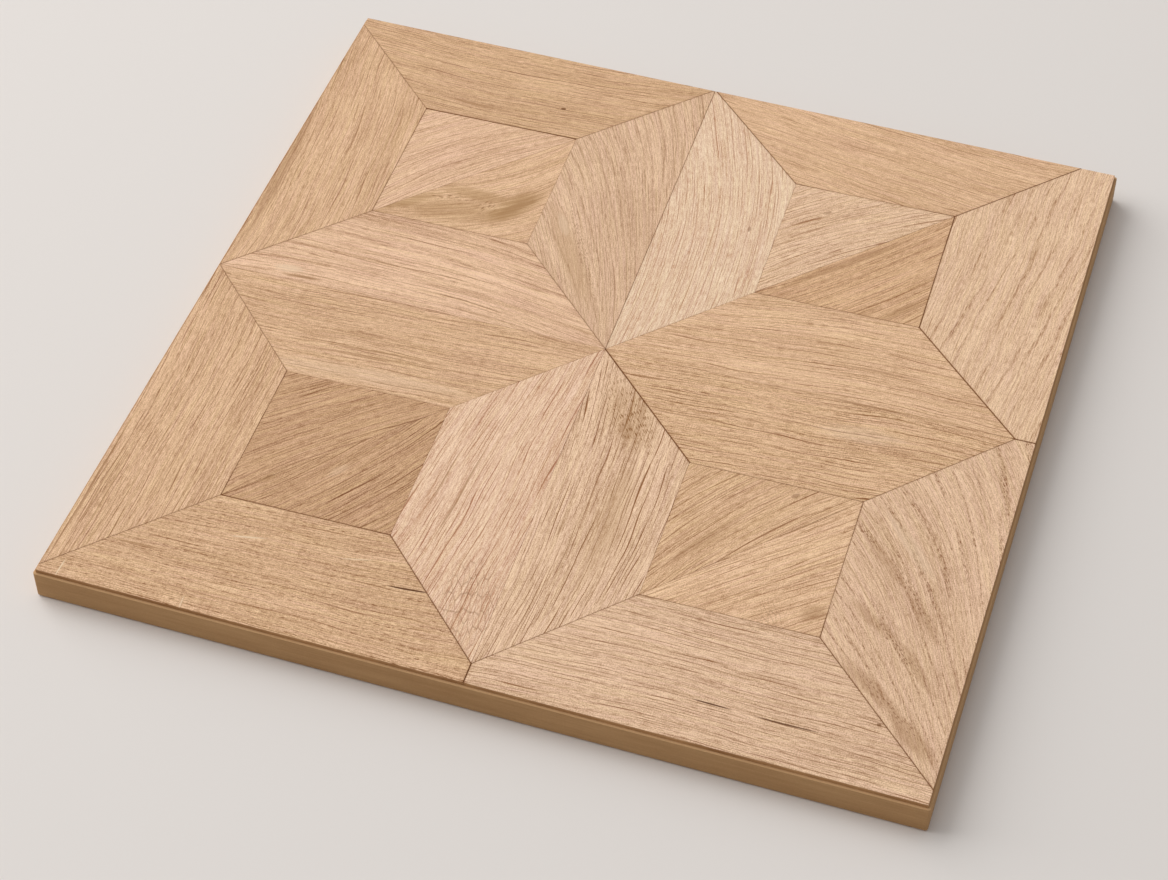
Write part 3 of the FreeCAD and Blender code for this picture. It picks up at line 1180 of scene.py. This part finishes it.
# Oak of each piece by its name. A Figure starts with its heading. A mark says how far to the right and to the back of
# the middle of the block it lies, half its length, half its width, its strength and its heading.
OAK = {
    "border_back_left": OakFinish(
        Tone.TAN, Figure(0.4, bend=4, fan=-4, ring=5, wander=1.6, seed=1), rings=0.08, lift=-6, lines=0.7, marks=(
            pin_knot(-77.5, 161.5, 1.6, 1.2, 0.9), streak(-120, 151, 22, 0.9, 0.6))),
    "border_left_back": OakFinish(
        Tone.WARM, Figure(93, bend=5, fan=-6, ring=4, wander=1.2, seed=2), rings=0.1, lift=-6, marks=(
            streak(-196, 75, 70, 4, 0.4),)),
    "petal_back_left_half": OakFinish(
        Tone.ROSY, Figure(111.5, bend=12, fan=46, ring=4.5, seed=3), rings=0.16, lift=-4, lines=0.45, marks=(
            stain(-40, 60, 44, 7, 0.35, 122), pore_patch(-36, 66, 46, 3, 0.5, 118),
            pale_patch(-50, 80, 10, 3, 0.4, 120))),
    "petal_left_back_half": OakFinish(
        Tone.LIGHT, Figure(176.8, bend=11, fan=7, ring=6.5, seed=4), rings=0.22, bands=0.9, lift=-8, marks=(
            pale_patch(-166, 10, 9, 3, 0.6), streak(-158, 6.5, 12, 1, 0.8))),
    "insert_back_left_rear_half": OakFinish(
        Tone.LIGHT, Figure(44, bend=-18, fan=-10, ring=5, seed=5), bands=0.7, lift=-6),
    "insert_back_left_fore_half": OakFinish(
        Tone.WARM, Figure(36, bend=48, fan=-12, ring=6, wander=1.4, seed=6), rings=0.1, bands=0.6, lift=-2, marks=(
            stain(-104, 73, 34, 10, 0.5, 8), stain(-128, 73, 22, 5, 0.6, 36), crumbs(-108, 82, 20, 4, 0.8, 12),
            stain(-98, 87, 22, 5.5, 0.6, 0), stain(-77, 85, 20, 8, 0.8, 52), streak(-75, 86, 17, 3.6, 0.35, 54),
            crumbs(-90, 80, 8, 6, 0.8, 60))),
    "border_back_right": OakFinish(
        Tone.WARM, Figure(172, bend=-4, fan=-12, ring=5, wander=1.6, seed=7), rings=0.08, crisp=0.95),
    "border_right_back": OakFinish(
        Tone.LIGHT, Figure(87.2, bend=-2, taper=-0.1, ring=7.5, wander=1.8, seed=8), rings=0.2, bands=0.35, pores=0.6,
        pore_length=7, scatter=0.1, lines=0.3, crisp=1.1),
    "petal_back_right_half": OakFinish(
        Tone.PALE, Figure(102, bend=17, fan=5, ring=2.4, wander=0.7, seed=9), rings=0.08, bands=0.35, pore_length=9,
        crisp=1.1, marks=(pin_knot(37, 105, 2.2, 0.9, 0.45),)),
    "petal_right_back_half": OakFinish(
        Tone.WARM, Figure(4, bend=-4, fan=12, ring=3.4, wander=1.6, seed=10), rings=0.1, crisp=1.15, marks=(
            streak(120, 31, 24, 0.8, 0.55), streak(128, 8.6, 62, 0.5, 0.6, 1.1))),
    "insert_back_right_rear_half": OakFinish(
        Tone.LIGHT, Figure(39, bend=-17, fan=5, ring=3, wander=0.6, seed=11), rings=0.08, bands=0.35, crisp=1.25,
        marks=(pin_knot(70, 128, 3, 1.2, 0.35),)),
    "insert_back_right_fore_half": OakFinish(
        Tone.HONEY, Figure(47.5, bend=11, fan=-11, ring=5, wander=0.5, seed=12), rings=0.14, bands=0.7, crisp=1.15,
        marks=(streak(88, 96, 44, 3, 0.4, 45), streak(121, 73, 16, 3, 0.4, 46))),
    "border_front_left": OakFinish(
        Tone.TAN, Figure(2.1, fan=13, ring=3, wander=1.2, seed=13), rings=0.1, lift=-2, pores=0.6, pore_length=4.5,
        scatter=0.4, lines=0.5, crisp=1.2, marks=(
            check(-41, -159, 10.5, 0.55, 0.95), scratch(-118, -153, 9, 0.6, 0.7, 12),
            scratch(-68, -150, 9, 0.5, 0.6, 14), scratch(-189, -194, 6, 0.45, 0.8, 88),
            scratch(-131, -196, 5, 0.4, 0.6, 95), streak(-162, -171.5, 14, 0.7, 0.7))),
    "border_left_front": OakFinish(
        Tone.WARM, Figure(91.8, bend=1.5, ring=4.2, seed=14), rings=0.1, lift=-8, crisp=1.2, marks=(
            streak(-196.6, -140, 60, 0.6, 0.7), streak(-192.5, -150, 38, 0.5, 0.6), streak(-188, -155, 32, 0.5))),
    "petal_front_left_half": OakFinish(
        Tone.PALE, Figure(84.8, bend=-2, fan=-19, ring=6, wander=1.2, seed=15), lift=-7, pores=0.1, lines=0.65,
        crisp=1.2, marks=(
            check_net(-13, -158, 32, 17, 0.5, 104), streak(-38, -100, 34, 0.7, 0.6), streak(-48, -95, 26, 0.6))),
    "petal_left_front_half": OakFinish(
        Tone.WARM, Figure(2.1, bend=2, fan=-3, ring=4.4, wander=1.2, seed=16), lift=-7, crisp=1.15, marks=(
            pale_patch(-105, -45, 70, 6, 0.25), streak(-100, -29, 46, 0.8), streak(-110, -34, 40, 0.8, 0.45))),
    "insert_front_left_rear_half": OakFinish(
        Tone.BROWN, Figure(41.7, bend=-12, fan=-33, ring=5.5, wander=0.9, seed=17), lift=-6, crisp=1.2),
    "insert_front_left_fore_half": OakFinish(
        Tone.BROWN, Figure(55, bend=22, ring=4.5, wander=0.9, seed=18), lift=-8, crisp=1.3, marks=(
            stain(-124, -117, 6, 3.5), pale_patch(-95, -104, 7, 3, 0.2))),
    "border_front_right": OakFinish(
        Tone.ROSY, Figure(1, bend=-3, ring=4, wander=1.2, seed=19), lift=2, lines=0.7, crisp=1.25, marks=(
            check(101, -177.3, 9.5, 0.5, 0.95), check(134, -177.8, 15.5, 0.45, 0.9), pin_knot(170, -166, 1.2, 0.9, 0.8),
            streak(40, -178, 24, 0.7))),
    "border_right_front": OakFinish(
        Tone.ROSY, Figure(119, bend=20, fan=45, ring=6.5, wander=0.8, seed=20), rings=0.14, pores=0.85, pore_length=3.5,
        scatter=0.06, lines=0.2, crisp=1.15, marks=(
            pale_patch(160, -68, 26, 4, 0.4, 132), streak(152, -80, 20, 3.6, 0.3, 134),
            streak(174, -104, 20, 3.4, 0.3, 126), pore_patch(168, -96, 36, 2.8, 0.8, 129),
            streak(154, -113, 18, 3.8, 0.33, 146), streak(178, -133, 20, 3.6, 0.33, 130),
            pore_patch(168, -125, 34, 2.8, 0.8, 137), streak(162, -148, 22, 4.8, 0.42, 144),
            streak(184, -168, 20, 5.5, 0.45, 136), pore_patch(172, -156, 34, 3.4, 0.7, 140))),
    "petal_front_right_half": OakFinish(
        Tone.ROSY, Figure(90, bend=5, fan=12, ring=5, seed=21), bands=0.7, lift=4, pores=0.1, lines=0.75, crisp=1.3,
        marks=(
            stain(20, -32, 28, 14, 0.3, 125), stain(30, -95, 44, 9, 0.35), streak(21, -41, 8, 5, 0.3, 125),
            crumbs(19, -31, 30, 13, 1, 125))),
    "petal_right_front_half": OakFinish(
        Tone.TAN, Figure(2, ring=3, wander=1.6, seed=22), rings=0.1, crisp=1.45, marks=(
            pale_patch(122, -10, 24, 6, 0.3),)),
    "insert_front_right_rear_half": OakFinish(
        Tone.TAN, Figure(53, bend=-18, fan=11, ring=5, wander=0.6, seed=23), rings=0.14, pores=0.2, lines=0.6,
        crisp=1.25, marks=(streak(72, -93, 26, 3, 0.35), pin_knot(104, -55, 2.4, 1.6, 0.4))),
    "insert_front_right_fore_half": OakFinish(
        Tone.WARM, Figure(41.5, bend=6, fan=24, ring=4, wander=0.8, seed=24), lift=2, pores=0.2, lines=0.6, crisp=1.25,
        marks=(streak(129, -117, 8, 5), check_net(112, -125, 12, 6, 0.4, 115))),
}


# How joints close, by the names of the two pieces. Others are snug beside a border and tight elsewhere.
JOINTS = {
    Fit.WIDE: (
        ("border_front_left", "border_front_right"), ("border_right_back", "border_right_front"),
        ("border_right_back", "petal_right_back_half"), ("petal_front_right_half", "petal_right_front_half"),
        ("border_back_left", "insert_back_left_rear_half")),
    Fit.OPEN: (
        ("border_back_right", "petal_back_right_half"), ("border_back_right", "border_right_back"),
        ("border_right_front", "border_front_right"), ("border_right_back", "insert_back_right_fore_half"),
        ("border_front_left", "insert_front_left_fore_half"), ("border_front_left", "petal_front_left_half")),
    Fit.SNUG: (
        ("petal_back_left_half", "petal_back_right_half"), ("petal_back_left_half", "petal_left_back_half"),
        ("petal_left_back_half", "insert_back_left_fore_half"),
        ("petal_right_back_half", "insert_back_right_fore_half"),
        ("petal_right_front_half", "insert_front_right_rear_half")),
}


@dataclass
class Mosaic:
    """The oak face: four frames of mitred strips and their inserts.

    Attributes:
        pieces: its pieces.
        reach: mm between the middles of two sides that form a joint.
    """

    pieces: list
    reach: float = 0.6

    def close_joints(self) -> None:
        """Finds each side's neighbour, whose side has the same middle, and sets how the joint closes."""
        for piece, other in permutations(self.pieces, 2):
            gaps = np.linalg.norm(piece.side_middles[:, None] - other.side_middles[None], axis=2).min(1)
            for side in np.flatnonzero(gaps < self.reach):
                piece.fits[side] = self.fit(piece.name, other.name)

    @staticmethod
    def fit(first: str, second: str) -> Fit:
        """How the joint between two pieces closes, by their names."""
        listed = [fit for fit, pairs in JOINTS.items() if (first, second) in pairs or (second, first) in pairs]
        return (*listed, Fit.SNUG if "border" in first + second else Fit.TIGHT)[0]


def main() -> None:
    """Builds and dresses the block and its stage, piece by piece."""
    logging.basicConfig(level=logging.INFO, format="%(message)s")
    mosaic = Mosaic([OakPiece(name, finish) for name, finish in OAK.items()])
    mosaic.close_joints()
    for part in [CoreBoard(), *mosaic.pieces]:
        piece = part.build()
        part.dress(piece)
        log.info("%s: %d faces", piece.name, len(piece.data.polygons))
    Studio().build()


if __name__ == "__main__":
    main()
